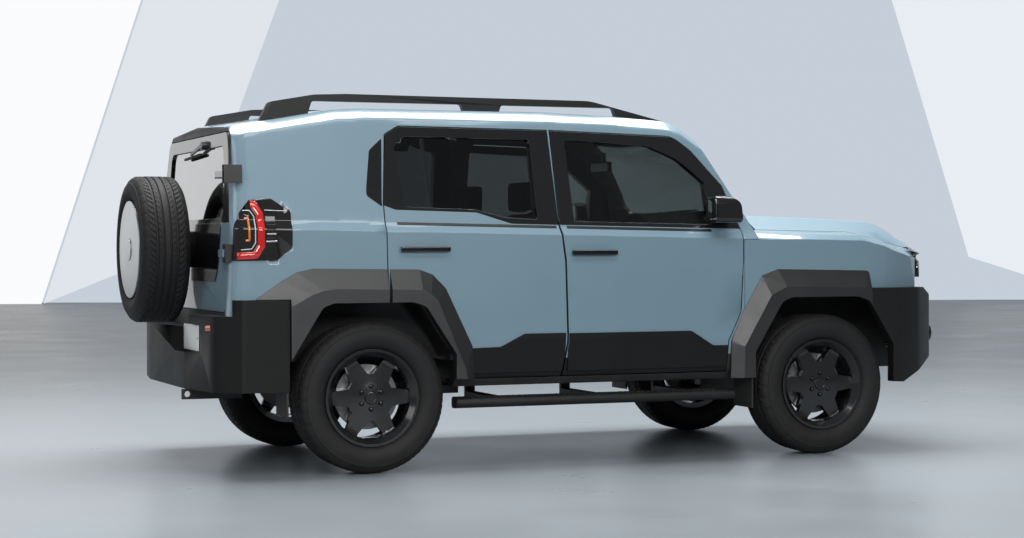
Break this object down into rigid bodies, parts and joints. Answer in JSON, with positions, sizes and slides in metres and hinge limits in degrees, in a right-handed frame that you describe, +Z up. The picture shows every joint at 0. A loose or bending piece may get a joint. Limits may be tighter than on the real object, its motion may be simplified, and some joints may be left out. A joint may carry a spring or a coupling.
{
  "type": "lifted off-road 4x4",
  "caption": "Five-door off-road estate car on a ladder frame with wide wheel-arch flares, roof rails, side steps and a rear-mounted spare wheel; its wheels, steering, doors and hood move.",
  "frame": {"origin": "on the ground under the middle of the vehicle's length and width", "axes": "+X forward, +Y to the vehicle's left, +Z up"},
  "size_m": [4.5, 2, 1.9199],
  "materials": {
    "body_paint": "gloss grey-blue paint",
    "tinted_glass": "dark privacy glass",
    "trim_plastic": "satin dark grey moulded plastic",
    "mudflap_rubber": "matt black rubber",
    "tail_lamp": "clear red lens",
    "head_lamp": "clear lens over a bright reflector",
    "chassis_paint": "black chassis paint",
    "engine_metal": "cast and cleaned",
    "seat_fabric": "woven dark grey",
    "interior_plastic": "grained soft-touch plastic",
    "tyre_rubber": "vulcanised rubber",
    "rim_black": "gloss black painted alloy",
    "cover_silver": "painted silver"
  },
  "bodies": {
    "root": {"body_shell": "body_paint", "windshield": "tinted_glass", "tail_lamps": "tail_lamp", "front_fenders": "body_paint", "front_grille": "trim_plastic", "headlights": "head_lamp", "cowl_panel": "trim_plastic", "front_bumper": "trim_plastic", "rear_bumper": "trim_plastic", "front_flares": "trim_plastic", "rear_flares": "trim_plastic", "roof_rails": "trim_plastic", "side_steps": "trim_plastic", "mudflaps": "mudflap_rubber", "floor_pan": "chassis_paint", "ladder_frame": "chassis_paint", "rear_axle": "chassis_paint", "front_suspension": "chassis_paint", "engine_block": "engine_metal", "propeller_shaft": "chassis_paint", "fuel_tank": "chassis_paint", "exhaust": "chassis_paint", "front_seats": "seat_fabric", "rear_seat": "seat_fabric", "dashboard": "interior_plastic", "back_door_hinges": "trim_plastic"},
    "hood": {"hood": "body_paint"},
    "back_door": {"back_door": "body_paint", "back_glass": "tinted_glass", "spare_tyre": "tyre_rubber", "spare_rim": "rim_black", "spare_cover": "cover_silver"},
    "steering_wheel": {"steering_wheel": "interior_plastic"},
    "knuckle_left": {"knuckle_left": "chassis_paint"},
    "front_door_left": {"front_door_left": "body_paint", "front_glass_left": "tinted_glass", "front_trim_left": "trim_plastic", "mirror_left": "trim_plastic"},
    "rear_door_left": {"rear_door_left": "body_paint", "rear_glass_left": "tinted_glass", "rear_trim_left": "trim_plastic"},
    "wheel_front_left": {"tyre_front_left": "tyre_rubber", "rim_front_left": "rim_black"},
    "wheel_rear_left": {"tyre_rear_left": "tyre_rubber", "rim_rear_left": "rim_black"},
    "knuckle_right": {"knuckle_right": "chassis_paint"},
    "front_door_right": {"front_door_right": "body_paint", "front_glass_right": "tinted_glass", "front_trim_right": "trim_plastic", "mirror_right": "trim_plastic"},
    "rear_door_right": {"rear_door_right": "body_paint", "rear_glass_right": "tinted_glass", "rear_trim_right": "trim_plastic"},
    "wheel_front_right": {"tyre_front_right": "tyre_rubber", "rim_front_right": "rim_black"},
    "wheel_rear_right": {"tyre_rear_right": "tyre_rubber", "rim_rear_right": "rim_black"}
  },
  "joints": [
    {"name": "steer_left", "type": "hinge", "parent": "root", "child": "knuckle_left", "pos_m": [1.38, 0.7155, 0.382], "axis": [0, 0, 1], "range_deg": [-33, 33]},
    {"name": "steer_right", "type": "hinge", "parent": "root", "child": "knuckle_right", "pos_m": [1.38, -0.7155, 0.382], "axis": [0, 0, 1], "range_deg": [-33, 33]},
    {"name": "steering_wheel_turn", "type": "hinge", "parent": "root", "child": "steering_wheel", "pos_m": [0.418, -0.37, 1.15], "axis": [-0.8829, 0, 0.4695], "range_deg": [-500, 500]},
    {"name": "front_left_wheel_spin", "type": "hinge", "parent": "knuckle_left", "child": "wheel_front_left", "pos_m": [1.38, 0.7755, 0.382], "axis": [0, 1, 0], "continuous": true},
    {"name": "front_right_wheel_spin", "type": "hinge", "parent": "knuckle_right", "child": "wheel_front_right", "pos_m": [1.38, -0.7755, 0.382], "axis": [0, 1, 0], "continuous": true},
    {"name": "rear_left_wheel_spin", "type": "hinge", "parent": "root", "child": "wheel_rear_left", "pos_m": [-1.2, 0.7755, 0.382], "axis": [0, 1, 0], "continuous": true},
    {"name": "rear_right_wheel_spin", "type": "hinge", "parent": "root", "child": "wheel_rear_right", "pos_m": [-1.2, -0.7755, 0.382], "axis": [0, 1, 0], "continuous": true},
    {"name": "front_door_left_hinge", "type": "hinge", "parent": "root", "child": "front_door_left", "pos_m": [0.899, 0.886, 1], "axis": [0, 0, -1], "range_deg": [0, 68]},
    {"name": "rear_door_left_hinge", "type": "hinge", "parent": "root", "child": "rear_door_left", "pos_m": [-0.132, 0.887, 1], "axis": [0, 0, -1], "range_deg": [0, 70]},
    {"name": "front_door_right_hinge", "type": "hinge", "parent": "root", "child": "front_door_right", "pos_m": [0.899, -0.886, 1], "axis": [0, 0, 1], "range_deg": [0, 68]},
    {"name": "rear_door_right_hinge", "type": "hinge", "parent": "root", "child": "rear_door_right", "pos_m": [-0.132, -0.887, 1], "axis": [0, 0, 1], "range_deg": [0, 70]},
    {"name": "back_door_hinge", "type": "hinge", "parent": "root", "child": "back_door", "pos_m": [-1.932, -0.797, 1.1], "axis": [0, 0, 1], "range_deg": [0, 90]},
    {"name": "hood_hinge", "type": "hinge", "parent": "root", "child": "hood", "pos_m": [1.005, 0, 1.318], "axis": [0, -1, 0], "range_deg": [0, 45]}
  ],
  "couplings": [
    {"joint": "steer_right", "follows": "steer_left", "ratio": 1},
    {"joint": "steering_wheel_turn", "follows": "steer_left", "ratio": 15}
  ]
}
